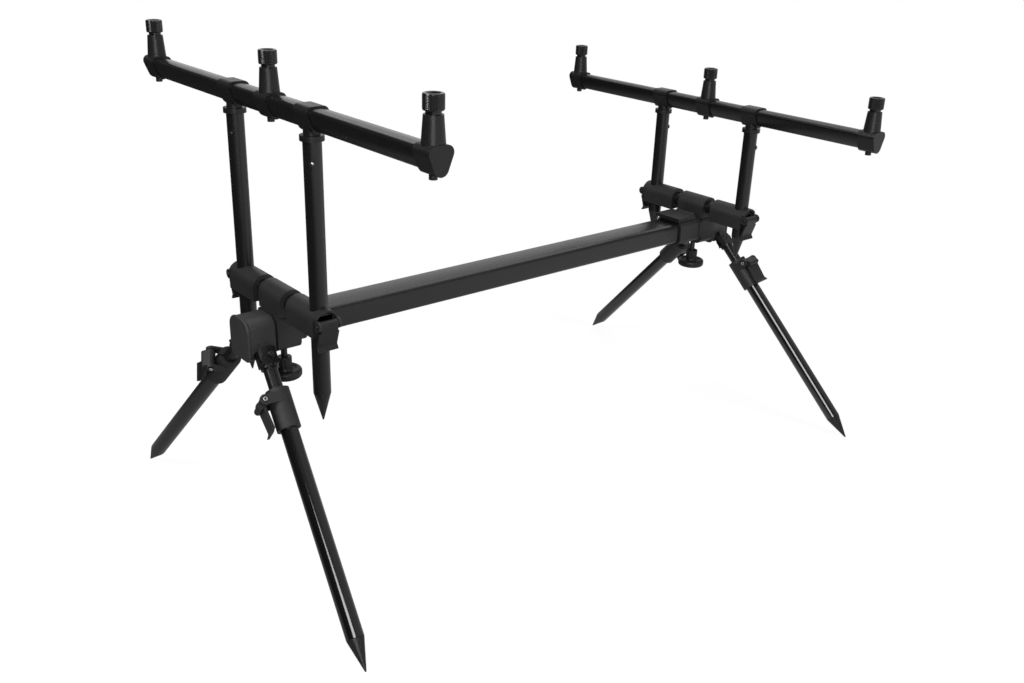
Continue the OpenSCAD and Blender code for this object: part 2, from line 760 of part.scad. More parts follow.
module leg_foot(e, s) color(gloss_black) at_leg(e, s) translate([0, 0, -leg_len])
    point(foot_len - run_gap, leg_d, leg_inner_d + 2 * run_gap);

module upright_spikes(e) color(black) at_end(e) for (s = [0, 1]) at_side(s)
    translate([post_x, 0, ring_z(e) - post_len(e)])
        point(spike_len - run_gap, post_d, post_d - 2 * post_wall);

// Cross screw in an upright, from a height over the tube
module cross_screw(e, s, from, d) {
    translate([post_x, 0, ring_z(e) - cross_screw_down]) rotate([0, 0, screw_turn[s]])
        rod_y(-post_r - run_gap - from, 0, d);
}

module uprights(e) color(black) at_end(e) for (s = [0, 1]) at_side(s) difference() {
    translate([post_x, 0, 0]) difference() {
        rod_z(ring_z(e) - post_len(e) + spike_len, ring_z(e) + collar_ring_h, post_d);
        rod_z(0, 2 * ring_z(e), post_d - 2 * post_wall);
    }
    cross_screw(e, s, 0, cross_screw_d + 2 * run_gap);
}

module bar_outline(by) {
    outline(offset_ring(bar_ring(), by));
}

module tees(e) color(soft_black) at_end(e) for (s = [0, 1]) at_side(s) {
    ring_top = ring_z(e) + collar_ring_h;
    difference() {
        union() {
            along_x(post_x - tee_len / 2, post_x + tee_len / 2)
                translate([0, bar_top(e)]) bar_outline(saddle_wall + run_gap);
            translate([post_x, 0, 0]) {
                rod_z(ring_top + run_gap, bar_top(e) - bar_h + bar_low_r, stem_d);
                rod_z(ring_z(e) - plug_len, ring_top + run_gap, post_d - 2 * post_wall - 2 * run_gap);
            }
        }
        along_x(0, post_spacing) translate([0, bar_top(e)]) bar_outline(run_gap);
        cross_screw(e, s, 0, cross_screw_d + 2 * run_gap);
    }
    translate([post_x, 0, 0]) difference() {
        rod_z(ring_z(e), ring_top, collar_ring_d);
        rod_z(0, 2 * ring_z(e), post_d + 2 * run_gap);
    }
    cross_screw(e, s, cross_head_h / 2, cross_screw_d);
    difference() {
        cross_screw(e, s, cross_head_h, cross_head_d);
        translate([post_x, 0, 0]) rod_z(0, 2 * ring_z(e), post_d + 2 * run_gap);
    }
}

module bar_tube(e) color(black) at_end(e) difference() {
    half = bar_span(e) / 2 + bar_end_in;
    along_x(-half, half) translate([0, bar_top(e)]) bar_outline(0);
    along_x(-half - 1, half + 1) translate([0, bar_top(e)]) bar_outline(-bar_wall);
    for (p = [-1, 0, 1]) translate([p * bar_span(e) / 2, 0, 0])
        rod_z(bar_top(e) - 2 * bar_h, bar_top(e) - bar_h / 2, bolt_d + 2 * run_gap);
}

module holder(e, p) {
    x = p * bar_span(e) / 2;
    low = bar_top(e) - bar_h - run_gap - saddle_wall - boss_h;
    end_wall = p == 0 ? holder_len : bar_end_in + run_gap;
    difference() {
        union() {
            along_x(x - holder_len / 2, x + holder_len / 2)
                translate([0, bar_top(e)]) bar_outline(saddle_wall + run_gap);
            translate([x, 0, bar_top(e)])
                cylinder(d1 = tower_low_d, d2 = tower_top_d, h = tower_top(e) - bar_top(e));
            translate([x, 0, 0]) rod_z(low, bar_top(e) - bar_h + bar_low_r, bolt_head_d);
        }
        along_x(x - (p < 0 ? end_wall : holder_len), x + (p > 0 ? end_wall : holder_len))
            translate([0, bar_top(e)]) bar_outline(run_gap);
        translate([x, 0, 0]) {
            rod_z(tower_top(e) - insert_spigot - pass_gap, tower_top(e) + 1, insert_spigot_d + 2 * run_gap);
            rod_z(low - 1, bar_top(e) - bar_h / 2, bolt_d + 2 * run_gap);
        }
    }
    translate([x, 0, 0]) {
        rod_z(low - bolt_head_h, low, bolt_head_d);
        rod_z(low, bar_top(e) - bar_h + bar_wall + bolt_past, bolt_d);
    }
}

module holders(e) color(soft_black) at_end(e) for (p = [-1, 0, 1]) holder(e, p);

module insert(e, p) color(black) at_end(e) translate([p * bar_span(e) / 2, 0, tower_top(e)]) difference() {
    union() {
        rod_z(-insert_spigot, run_gap, insert_spigot_d);
        rod_z(run_gap, insert_neck_h, insert_neck_d);
        rod_z(insert_neck_h, insert_neck_h + insert_h, insert_d);
    }
    translate([0, 0, insert_neck_h + insert_h]) rod_z(-thread_depth, 1, thread_d);
}

beam_outer_tube();
beam_inner_tube();
beam_slide_shoe();
beam_lock_collar();
beam_lock_lever();
for (e = [0, 1]) {
    head_body(e);
    leg_block(e);
    end_cap(e);
    cross_shaft(e);
    tilt_knob(e);
    bar_tube(e);
    uprights(e);
    upright_spikes(e);
    tees(e);
    holders(e);
    for (p = [0, 1, 2]) {
        insert(e, p - 1);
    }
    for (s = [0, 1]) {
        post_clamp(e, s);
        post_lever(e, s);
        leg_arm(e, s);
        leg_clamp(e, s);
        leg_lever(e, s);
        leg_tube(e, s);
        leg_foot(e, s);
    }
}
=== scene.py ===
"""Rod pod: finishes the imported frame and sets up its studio."""

import json
import math

import bmesh
import bpy
from bpy.props import FloatProperty, FloatVectorProperty, IntProperty, PointerProperty
from bpy.types import Operator, Panel, PropertyGroup
from mathutils import Matrix, Vector


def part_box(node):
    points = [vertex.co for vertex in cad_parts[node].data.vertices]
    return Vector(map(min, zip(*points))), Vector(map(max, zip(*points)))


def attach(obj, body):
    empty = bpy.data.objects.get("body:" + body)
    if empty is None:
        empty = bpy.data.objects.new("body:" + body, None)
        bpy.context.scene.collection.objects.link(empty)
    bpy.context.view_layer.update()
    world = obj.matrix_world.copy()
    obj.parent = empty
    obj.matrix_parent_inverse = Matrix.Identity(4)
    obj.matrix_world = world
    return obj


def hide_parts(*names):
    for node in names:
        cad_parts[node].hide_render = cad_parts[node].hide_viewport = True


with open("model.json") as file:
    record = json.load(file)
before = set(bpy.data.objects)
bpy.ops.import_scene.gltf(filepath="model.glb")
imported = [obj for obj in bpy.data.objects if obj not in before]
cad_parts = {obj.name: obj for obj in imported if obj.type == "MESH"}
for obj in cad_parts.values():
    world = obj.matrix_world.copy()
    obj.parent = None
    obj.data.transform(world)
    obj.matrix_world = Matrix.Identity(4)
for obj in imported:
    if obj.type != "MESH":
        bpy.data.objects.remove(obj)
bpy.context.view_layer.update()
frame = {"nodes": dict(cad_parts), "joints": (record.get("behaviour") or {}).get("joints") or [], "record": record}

bl_info = {
    "name": "Rod pod",
    "version": (1, 0, 0),
    "blender": (4, 5, 0),
    "location": "View3D > Sidebar > Rod pod",
    "description": "Finishes the pieces of a rod pod and sets up its studio",
    "category": "Object",
}

ENDS = ("front", "rear")
SIDES = ("left", "right")
PLACES = ("left", "mid", "right")
BODIES = frame["record"]["behaviour"]["bodies"]
NODE_BODY = {node: body for body, nodes in BODIES.items() for node in nodes}
NODE_SLOT = {part["node"]: part["material_slot"] for part in frame["record"]["subparts"]}
JOINTS = {joint["name"]: joint for joint in frame["joints"]}

MM = 1000  # millimetres in a metre
ACROSS, FORWARD, UP = Vector((1, 0, 0)), Vector((0, 1, 0)), Vector((0, 0, 1))
BEAM_AXES = (ACROSS, UP, FORWARD)  # an outline's x and z and the run of a beam's tube
BAR_AXES = (FORWARD, UP, ACROSS)  # the same for a bar

# Lengths in metres and angles within which a mesh's points or faces count as one, and the angles
# past which an edge is rounded or shows as a crease.
CAD_WELD = 2e-6
WELD = 1e-6
FLAT = math.radians(0.5)
ROUNDED = math.radians(35.0)
CREASE = math.radians(50.0)
TUBE_CREASE = math.radians(40.0)
KNURL_CREASE = math.radians(16.0)

BEVEL_SEGMENTS = 3
CORNER_STEPS = 6  # steps round a corner of a tube's outline
SIDE_CUTS = 9  # points along a swelled side of a tube's outline
BEAD_CUTS = 2  # points along a side of the collar's bead


class PodFinish(PropertyGroup):
    """Colours and sheen of the pod's materials."""

    moulding: FloatVectorProperty(
        name="Moulding", description="Colour of the moulded leg blocks and end caps",
        default=(0.022, 0.022, 0.0223), size=3, subtype="COLOR", min=0, max=1)
    clamp: FloatVectorProperty(
        name="Clamps", description="Colour of the moulded head bodies, clamps and beam collar",
        default=(0.013, 0.013, 0.0132), size=3, subtype="COLOR", min=0, max=1)
    fitting: FloatVectorProperty(
        name="Fittings", description="Colour of the moulded tees, rod-rest holders and feet",
        default=(0.0065, 0.0065, 0.0066), size=3, subtype="COLOR", min=0, max=1)
    handle: FloatVectorProperty(
        name="Handles", description="Colour of the levers and tilt knobs",
        default=(0.007, 0.007, 0.0071), size=3, subtype="COLOR", min=0, max=1)
    tube: FloatVectorProperty(
        name="Tubes", description="Colour of the anodised tubes and inserts",
        default=(0.004, 0.004, 0.0041), size=3, subtype="COLOR", min=0, max=1)
    gloss: FloatVectorProperty(
        name="Gloss", description="Colour of the lacquered lower legs",
        default=(0.003, 0.003, 0.0032), size=3, subtype="COLOR", min=0, max=1)
    steel: FloatVectorProperty(
        name="Steel", description="Colour of the blackened pins and screws",
        default=(0.05, 0.05, 0.052), size=3, subtype="COLOR", min=0, max=1)
    bright: FloatVectorProperty(
        name="Bright steel", description="Colour of the bare rivets and screw ends",
        default=(0.55, 0.55, 0.56), size=3, subtype="COLOR", min=0, max=1)
    moulding_sheen: FloatProperty(
        name="Moulding roughness", description="Roughness of the moulded pieces",
        default=0.50, min=0, max=1, subtype="FACTOR")
    tube_sheen: FloatProperty(
        name="Tube roughness", description="Roughness of the anodised tubes",
        default=0.27, min=0, max=1, subtype="FACTOR")
    gloss_sheen: FloatProperty(
        name="Gloss roughness", description="Roughness of the lacquered lower legs",
        default=0.13, min=0, max=1, subtype="FACTOR")


class PodTrim(PropertyGroup):
    """Sizes of the pod's edges and small details."""

    moulding_edge: FloatProperty(
        name="Moulding edge", description="Edge radius of the moulded pieces",
        default=0.0008, min=0.0001, max=0.003, unit="LENGTH")
    head_edge: FloatProperty(
        name="Head edge", description="Edge radius of the heads and leg blocks",
        default=0.0012, min=0.0001, max=0.003, unit="LENGTH")
    tube_edge: FloatProperty(
        name="Tube edge", description="Edge radius of the tube ends",
        default=0.0003, min=0.0001, max=0.001, unit="LENGTH")
    beam_swell: FloatProperty(
        name="Beam swell", description="Slope to which the beam's sides swell at their edges",
        default=0.06, min=0, max=0.2, subtype="FACTOR")
    bar_swell: FloatProperty(
        name="Bar swell", description="Slope to which the bar's sides swell at their edges",
        default=0.24, min=0, max=0.4, subtype="FACTOR")
    knurl_count: IntProperty(
        name="Knurl points", description="Points of the knurl round an insert",
        default=46, min=24, max=120)
    knurl_depth: FloatProperty(
        name="Knurl depth", description="Height of the knurl's points on an insert",
        default=0.00034, min=0.0001, max=0.001, unit="LENGTH")
    thread_pitch: FloatProperty(
        name="Thread pitch", description="Pitch of the thread in an insert",
        default=0.00127, min=0.0006, max=0.002, unit="LENGTH")
    flutes: IntProperty(
        name="Hub flutes", description="Flutes round the hub of a tilt knob",
        default=12, min=4, max=40)


class PodStage(PropertyGroup):
    """Floor, light and camera."""

    floor: FloatVectorProperty(
        name="Floor", description="Colour of the floor",
        default=(0.88, 0.88, 0.88), size=3, subtype="COLOR", min=0, max=1)
    floor_size: FloatProperty(
        name="Floor size", description="Width of the floor",
        default=30.0, min=2, max=60, unit="LENGTH")
    top_light: FloatProperty(
        name="Top light", description="Power of the lamp over the pod",
        default=32.0, min=0, max=500, unit="POWER")
    strip_light: FloatProperty(
        name="Strip light", description="Power of the strip lamp over the camera",
        default=31.0, min=0, max=500, unit="POWER")
    right_light: FloatProperty(
        name="Right light", description="Power of the lamp on the pod's right",
        default=40.0, min=0, max=500, unit="POWER")
    fill_light: FloatProperty(
        name="Fill light", description="Power of the lamp in front of the pod",
        default=34.0, min=0, max=500, unit="POWER")
    lens: FloatProperty(
        name="Lens", description="Focal length in millimetres",
        default=36.70, min=10, max=200)


class Value:
    """A number in a material. Arithmetic on it adds Math nodes."""

    def __init__(self, shade, socket):
        self.shade = shade
        self.socket = socket

    def __add__(self, other):
        return self.shade.maths("ADD", self, other)

    __radd__ = __add__

    def __rsub__(self, other):
        return self.shade.maths("SUBTRACT", other, self)

    def __mul__(self, other):
        return self.shade.maths("MULTIPLY", self, other)

    __rmul__ = __mul__


class Shade:
    """A material's or the world's nodes and the means to add to them."""

    def __init__(self, tree):
        self.tree = tree

    def node(self, kind, settings=None, sockets=None, out=0):
        """Adds a node, sets it up, fills or links its sockets and returns one of its outputs."""
        made = self.tree.nodes.new(kind)
        for key, value in (settings or {}).items():
            setattr(made, key, value)
        for key, value in (sockets or {}).items():
            if isinstance(value, Value):
                self.tree.links.new(value.socket, made.inputs[key])
            else:
                made.inputs[key].default_value = value
        return Value(self, made.outputs[out])

    def maths(self, operation, *values):
        return self.node("ShaderNodeMath", {"operation": operation}, dict(enumerate(values)))

    def feed(self, value, socket):
        self.tree.links.new(value.socket, socket)


def new_material(name):
    made = bpy.data.materials.new(name)
    made.use_nodes = True
    return made, Shade(made.node_tree), made.node_tree.nodes["Principled BSDF"]


def object_coordinates(shade):
    return shade.node("ShaderNodeTexCoord", out="Object")


def stretched(shade, scale):
    """Object coordinates drawn out along one or more axes."""
    return shade.node(
        "ShaderNodeMapping", {}, {"Vector": object_coordinates(shade), "Scale": scale})


def noise(shade, vector, scale, detail=2.0, rough=0.5):
    return shade.node(
        "ShaderNodeTexNoise", {},
        {"Vector": vector, "Scale": scale, "Detail": detail, "Roughness": rough})


def varied(level, *noises):
    """A level varied by noises that are about a half on average. Each comes with its strength."""
    value = level - sum(strength for source, strength in noises) / 2
    for source, strength in noises:
        value = source * strength + value
    return value


def tinted(shade, factor, colour, low, high):
    """The colour made darker and lighter between two levels by a factor."""
    return shade.node(
        "ShaderNodeMix", {"data_type": "RGBA"},
        {0: factor, 6: (*[c * low for c in colour], 1), 7: (*[c * high for c in colour], 1)}, out=2)


def bumped(shade, height, strength, distance):
    return shade.node(
        "ShaderNodeBump", {}, {"Height": height, "Strength": strength, "Distance": distance})


def reach(shade, vector, way):
    """How far a vector reaches along a direction."""
    return shade.node(
        "ShaderNodeVectorMath", {"operation": "DOT_PRODUCT"}, {0: vector, 1: way}, out="Value")


def eased(shade, value, start, end, low, high):
    """A value taken smoothly from one range to another."""
    return shade.node(
        "ShaderNodeMapRange", {"interpolation_type": "SMOOTHSTEP"},
        {"Value": value, "From Min": start, "From Max": end, "To Min": low, "To Max": high})


def moulded(name, colour, sheen, grain):
    """Moulded nylon: a fine spark-eroded grain and a cloudy colour and sheen."""
    material, shade, shader = new_material(name)
    where = object_coordinates(shade)
    cloud = noise(shade, where, scale=45.0, detail=3.0)
    speck = noise(shade, where, scale=1900.0, rough=0.6)
    tint = tinted(shade, cloud * 0.6 + speck * 0.4, colour, low=0.78, high=1.25)
    shade.feed(tint, shader.inputs["Base Color"])
    shade.feed(varied(sheen, (cloud, 0.16), (speck, 0.1)), shader.inputs["Roughness"])
    shade.feed(bumped(shade, speck, grain, distance=0.0002), shader.inputs["Normal"])
    shader.inputs["Specular IOR Level"].default_value = 0.32
    return material


def anodised(name, colour, sheen, along):
    """Anodised tube: fine drawing lines along the tube and a slightly uneven sheen."""
    material, shade, shader = new_material(name)
    scale = [1.0 if c else 60.0 for c in along]
    lines = noise(shade, stretched(shade, scale), scale=40.0, detail=3.0, rough=0.6)
    cloud = noise(shade, object_coordinates(shade), scale=28.0, detail=3.0)
    tint = tinted(shade, lines * 0.5 + cloud * 0.5, colour, low=0.8, high=1.2)
    shade.feed(tint, shader.inputs["Base Color"])
    shade.feed(varied(sheen, (lines, 0.1), (cloud, 0.12)), shader.inputs["Roughness"])
    shade.feed(bumped(shade, lines, 0.12, distance=0.0001), shader.inputs["Normal"])
    return material


def lacquered(name, colour, sheen):
    """Glossy black lacquer with faint smears."""
    material, shade, shader = new_material(name)
    cloud = noise(shade, object_coordinates(shade), scale=32.0, detail=4.0, rough=0.6)
    fine = noise(shade, object_coordinates(shade), scale=700.0)
    shade.feed(tinted(shade, cloud, colour, low=0.8, high=1.2), shader.inputs["Base Color"])
    shade.feed(varied(sheen, (cloud, 0.09), (fine, 0.04)), shader.inputs["Roughness"])
    shader.inputs["Coat Weight"].default_value = 0.4
    shader.inputs["Coat Roughness"].default_value = 0.06
    return material


def worn_steel(name, colour):
    """Steel with worn spots."""
    material, shade, shader = new_material(name)
    wear = noise(shade, object_coordinates(shade), scale=420.0, detail=3.0, rough=0.65)
    shade.feed(tinted(shade, wear, colour, low=0.5, high=1.7), shader.inputs["Base Color"])
    shade.feed(wear * 0.25 + 0.22, shader.inputs["Roughness"])
    shader.inputs["Metallic"].default_value = 1.0
    return material


FINISHES = {}


def finish(name):
    """The pod's materials, made once."""
    if not FINISHES:
        look = bpy.context.scene.rod_pod_finish
        nylon, tube = look.moulding_sheen, look.tube_sheen
        FINISHES.update({
            "moulding": moulded("moulded_nylon", look.moulding, nylon, grain=0.35),
            "clamp": moulded("clamp_nylon", look.clamp, nylon, grain=0.35),
            "fitting": moulded("fitting_nylon", look.fitting, nylon - 0.12, grain=0.3),
            "handle": moulded("lever_nylon", look.handle, nylon - 0.04, grain=0.2),
            "beam_tube": anodised("anodised_beam", look.tube, tube, along=(0, 1, 0)),
            "anodised": anodised("anodised_upright", look.tube, tube, along=(0, 0, 1)),
            "anodised_bar": anodised("anodised_bar", look.tube, tube, along=(1, 0, 0)),
            "leg_tube": lacquered("lacquered_leg", look.gloss, look.gloss_sheen),
            "insert": anodised("anodised_insert", look.tube, tube - 0.04, along=(1, 1, 1)),
            "steel": worn_steel("blackened_steel", look.steel),
            "bright": worn_steel("bright_steel", look.bright),
        })
    return FINISHES[name]


def place(name, mesh_data, materials, body, replaced=()):
    """Turns a bmesh into a piece of the pod."""
    mesh = bpy.data.meshes.new(name)
    mesh_data.to_mesh(mesh)
    mesh_data.free()
    piece = bpy.data.objects.new(name, mesh)
    bpy.context.scene.collection.objects.link(piece)
    for material in materials:
        mesh.materials.append(material)
    for face in mesh.polygons:
        face.use_smooth = True
    normals = piece.modifiers.new("even_shading", "WEIGHTED_NORMAL")
    normals.keep_sharp = True
    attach(piece, body)
    if replaced:
        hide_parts(*replaced)
    return piece


def copy_of(node):
    """A node's solid with its loose triangles joined and its flat faces whole."""
    solid = bmesh.new()
    solid.from_mesh(frame["nodes"][node].data)
    bmesh.ops.remove_doubles(solid, verts=solid.verts, dist=CAD_WELD)
    bmesh.ops.dissolve_degenerate(solid, edges=solid.edges, dist=CAD_WELD)
    bmesh.ops.dissolve_limit(
        solid, angle_limit=FLAT, use_dissolve_boundaries=False,
        verts=solid.verts, edges=solid.edges, delimit=set())
    return solid


def islands(solid):
    """The separate bodies of a mesh, smallest first."""
    left = set(solid.faces)
    found = []
    while left:
        start = left.pop()
        group, edge = {start}, [start]
        while edge:
            face = edge.pop()
            for rim in face.edges:
                for other in rim.link_faces:
                    if other in left:
                        left.remove(other)
                        group.add(other)
                        edge.append(other)
        found.append(list(group))

    def spread(faces):
        points = [v.co for f in faces for v in f.verts]
        return math.prod(
            max(p[i] for p in points) - min(p[i] for p in points) for i in range(3))

    return sorted(found, key=spread)


def crease(solid, angle):
    """Marks the edges that turn by more than an angle as sharp."""
    for e in solid.edges:
        e.smooth = len(e.link_faces) == 2 and e.calc_face_angle(0.0) < angle


def soften(solid, edge, inner=True):
    """Rounds the sharp edges of a solid, with its inner corners or without them."""
    sharp = [
        e for e in solid.edges
        if len(e.link_faces) == 2 and e.calc_face_angle(0.0) > ROUNDED and (inner or e.is_convex)]
    bmesh.ops.bevel(
        solid, geom=sharp, offset=edge, offset_type="OFFSET", segments=BEVEL_SEGMENTS,
        profile=0.5, affect="EDGES", clamp_overlap=True, material=-1)
    bmesh.ops.remove_doubles(solid, verts=solid.verts, dist=WELD)
    crease(solid, CREASE)


def dress(node, edge, material=None, steel=0, shape=None, inner=True):
    """Replaces a node by its solid with rounded edges.

    As many of its smallest bodies as steel says are steel, and a shape can change the solid first.
    """
    solid = copy_of(node)
    if shape:
        shape(solid)
    materials = [finish(material or NODE_SLOT[node])]
    if steel:
        materials.append(finish("steel"))
        for group in islands(solid)[:steel]:
            for face in group:
                face.material_index = 1
    soften(solid, edge, inner)
    return place(
        node + "_finished", solid, materials, NODE_BODY[node], (node,))


def on_axis(point, direction):
    """Matrix that takes the origin to a point and Z to a direction."""
    turn = Vector(direction).to_track_quat("Z", "Y").to_matrix().to_4x4()
    return Matrix.Translation(point) @ turn


def arc(centre, radius, first, last, count):
    """Profile points on a circle between two angles in degrees."""
    steps = [math.radians(first + (last - first) * i / (count - 1)) for i in range(count)]
    return [(centre[0] + radius * math.cos(a), centre[1] + radius * math.sin(a)) for a in steps]


def turned(profile, steps, matrix, shape=None, material=0):
    """A piece turned from a profile of (radius, height) points in millimetres.

    A shape can move its points: it gives a new radius for a radius, an angle and a height.
    """
    solid = bmesh.new()
    points = [solid.verts.new((r / MM, 0, z / MM)) for r, z in profile]
    edges = [solid.edges.new(pair) for pair in zip(points, points[1:])]
    bmesh.ops.spin(
        solid, geom=points + edges, cent=(0, 0, 0), axis=(0, 0, 1), dvec=(0, 0, 0),
        angle=2 * math.pi, steps=steps, use_merge=True, use_normal_flip=False, use_duplicate=False)
    bmesh.ops.remove_doubles(solid, verts=solid.verts, dist=WELD)
    if shape:
        for v in solid.verts:
            radius = math.hypot(v.co.x, v.co.y)
            if radius > WELD:
                angle = math.atan2(v.co.y, v.co.x)
                radius = shape(radius, angle, v.co.z)
                v.co.x, v.co.y = radius * math.cos(angle), radius * math.sin(angle)
    bmesh.ops.recalc_face_normals(solid, faces=solid.faces)
    for face in solid.faces:
        face.material_index = material
    bmesh.ops.transform(solid, matrix=matrix, verts=solid.verts)
    return solid


def join(parts):
    """Several bmeshes made one."""
    whole = bmesh.new()
    for part in parts:
        spare = bpy.data.meshes.new("spare")
        part.to_mesh(spare)
        part.free()
        whole.from_mesh(spare)
        bpy.data.meshes.remove(spare)
    return whole


def rectangle(wide, tall, radius):
    """Circles of (x, z, radius) in the corners of a rectangle, anticlockwise."""
    return [(x * wide, z * tall, radius) for x, z in ((-1, -1), (1, -1), (1, 1), (-1, 1))]


def bulged(circles, swell, cuts):
    """Outline round circles of (x, z, radius), given anticlockwise, whose sides swell outwards."""
    ways = []
    for one, two in zip(circles, circles[1:] + circles[:1]):
        across = Vector((two[0] - one[0], two[1] - one[1]))
        lean = (one[2] - two[2]) / across.length
        across.normalize()
        ways.append(Vector((across.y, -across.x)) * math.sqrt(1 - lean * lean) + across * lean)
    points = []
    for i, (x, z, radius) in enumerate(circles):
        first, last = ways[i - 1], ways[i]
        turn = math.acos(max(-1.0, min(1.0, first.dot(last))))
        start = math.atan2(first.y, first.x)
        for k in range(CORNER_STEPS + 1):
            angle = start + turn * k / CORNER_STEPS
            points.append(Vector((x + radius * math.cos(angle), z + radius * math.sin(angle))))
        after = circles[(i + 1) % len(circles)]
        begin, end = points[-1], Vector((after[0], after[1])) + last * after[2]
        for k in range(1, cuts + 1):
            share = k / (cuts + 1)
            rise = last * swell * (end - begin).length * share * (1 - share)
            points.append(begin.lerp(end, share) + rise)
    return points


def drawn_tube(outside, inside, axes, start, length):
    """A tube drawn from two outlines in millimetres.

    The axes say which way an outline's x, its z and the tube run.
    """
    tube = bmesh.new()
    ends = []
    for outline in (outside, inside):
        loop = [tube.verts.new(start + (axes[0] * p.x + axes[1] * p.y) / MM) for p in outline]
        rim = [tube.edges.new((a, b)) for a, b in zip(loop, loop[1:] + loop[:1])]
        far = bmesh.ops.extrude_edge_only(tube, edges=rim)["geom"]
        bmesh.ops.translate(
            tube, vec=axes[2] * length, verts=[v for v in far if isinstance(v, bmesh.types.BMVert)])
        far_edges = [e for e in far if isinstance(e, bmesh.types.BMEdge)]
        ends.append((rim, [e for e in far_edges if len(e.link_faces) == 1]))
    for k in range(2):
        bmesh.ops.bridge_loops(tube, edges=ends[0][k] + ends[1][k])
    bmesh.ops.recalc_face_normals(tube, faces=tube.faces)
    crease(tube, TUBE_CREASE)
    return tube


# Small fasteners: profiles of (radius, height) in millimetres over the end that they sit on, the
# steps round them, and the places of their two materials.
STEEL, BRIGHT = 0, 1
RIVET_STEPS = 28
RIVET_RIM = [
    (1.12, -0.15), (2.0, -0.15), (2.0, 0.12), (1.9, 0.34), (1.65, 0.45), (1.35, 0.4),
    (1.17, 0.25), (1.12, 0.04), (1.12, -0.15)]
# The rivet's floor is always blackened steel, painted shade where a deep hole would be.
RIVET_PAINTED_SHADE_FLOOR = [(0, -0.15), (1.14, -0.15), (1.14, 0.05), (0, 0.03)]
DOME_STEPS = 24
DOME = [(0, -0.1), (1.25, -0.1), (1.2, 0.2), (0.95, 0.48), (0.5, 0.66), (0, 0.7)]
SCREW_STEPS = 36
SCREW = 3.4  # radius of a hinge screw's head
KEY = SCREW * 0.5  # radius of its socket
SCREW_RIM = [(0, -0.1), (SCREW, -0.1)] + arc((SCREW - 0.35, 0.2), 0.35, 0, 90, 4)
SCREW_WELL = [(KEY * 1.25, 0.55), (KEY * 1.1, 0.5), (KEY, 0.4), (KEY, 0.06), (0, 0.06)]
KEY_REACH = KEY / MM * 1.02  # radius in metres within which the socket has its six sides

# Half lengths of the pins and screws that carry these ends, in metres.
LOCK_PIN = 0.01435
LEVER_PIN = 0.0121
HINGE_SCREW = 0.0074


def six_sides(radius, angle, z):
    """Gives a screw's round socket six flat sides."""
    turn = (angle % (math.pi / 3)) - math.pi / 6
    return radius * math.cos(math.pi / 6) / math.cos(turn) if radius < KEY_REACH else radius


def rivet(point, direction, rim):
    """A hollow rivet's end: a rolled rim round a dark hole. The hole is shallow, and its floor is always blackened
    steel: painted shade for the hole's depth where the rim is bright.
    """
    at = on_axis(point, direction)
    return [
        turned(RIVET_RIM, RIVET_STEPS, at, material=rim), turned(RIVET_PAINTED_SHADE_FLOOR, RIVET_STEPS, at)]


def socket_head(point, direction):
    """A low screw head with a six-sided socket, on the end of a screw."""
    at = on_axis(point, direction)
    return [turned(SCREW_RIM + SCREW_WELL, SCREW_STEPS, at, six_sides)]


def both_ends(joint, half, make):
    """What is made on the two ends of a joint's pin or screw."""
    point, along = Vector(JOINTS[joint]["pos_m"]), Vector(JOINTS[joint]["axis"]).normalized()
    return [part for sign in (1, -1) for part in make(point + along * half * sign, along * sign)]


def pin_ends(joint, half, rim=STEEL):
    """The two rivets on the ends of a lever's pin."""
    return both_ends(joint, half, lambda point, direction: rivet(point, direction, rim))


def bright_ends(name, parts, body):
    """Rivets and screw ends as one piece of a body."""
    return place(name, join(parts), [finish("steel"), finish("bright")], body)


class RODPOD_OT_beam(Operator):
    """Finish the telescopic beam and its lock"""

    bl_idname = "rod_pod.beam"
    bl_label = "Beam"

    # Corner radii of the outer tube and the half sizes and corner radii of the collar's bead, in
    # millimetres.
    corner, bore_corner = 4.5, 2.7
    bead_half = (12.5, 7.5)
    bead_corner, bead_bore = 8.1, 6.5
    # Height of the bead's middle, its start before the collar's end, its length and its edge, in
    # metres.
    bead_height, bead_start, bead_length, bead_edge = 0.226, 0.0019, 0.0016, 0.0004

    def execute(self, context):
        trim = context.scene.rod_pod_trim
        low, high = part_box("beam_outer_tube")
        wide = (high.x - low.x) * MM / 2 - self.corner
        tall = (high.z - low.z) * MM / 2 - self.corner
        tube = drawn_tube(
            bulged(rectangle(wide, tall, self.corner), trim.beam_swell, SIDE_CUTS),
            bulged(rectangle(wide, tall, self.bore_corner), 0, SIDE_CUTS),
            BEAM_AXES, Vector((0, low.y, (low.z + high.z) / 2)), high.y - low.y)
        place(
            "beam_outer_drawn", tube, [finish("beam_tube")], "frame",
            ("beam_outer_tube",))
        dress("beam_inner_tube", trim.tube_edge)
        dress("beam_slide_shoe", trim.tube_edge)
        dress("beam_lock_collar", trim.moulding_edge, "clamp")
        low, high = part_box("beam_lock_collar")
        bead = drawn_tube(
            bulged(rectangle(*self.bead_half, self.bead_corner), 0, BEAD_CUTS),
            bulged(rectangle(*self.bead_half, self.bead_bore), 0, BEAD_CUTS),
            BEAM_AXES, Vector((0, high.y - self.bead_start, self.bead_height)), self.bead_length)
        soften(bead, self.bead_edge)
        place("beam_collar_bead", bead, [finish("clamp")], "frame")
        dress("beam_lock_lever", trim.moulding_edge, steel=1)
        rivets = pin_ends("beam_lock_flip", LOCK_PIN)
        bright_ends("beam_lock_rivets", rivets, "beam_lock_lever")
        return {"FINISHED"}


class RODPOD_OT_heads(Operator):
    """Finish the heads, leg blocks, end caps and cross shafts"""

    bl_idname = "rod_pod.heads"
    bl_label = "Heads"

    def execute(self, context):
        trim = context.scene.rod_pod_trim
        for end in ENDS:
            dress(f"{end}_head_body", trim.head_edge, "clamp")
            dress(f"{end}_leg_block", trim.head_edge, "moulding", inner=False)
            dress(f"{end}_end_cap", trim.head_edge, "moulding")
            dress(f"{end}_cross_shaft", trim.tube_edge, "anodised_bar")
        return {"FINISHED"}


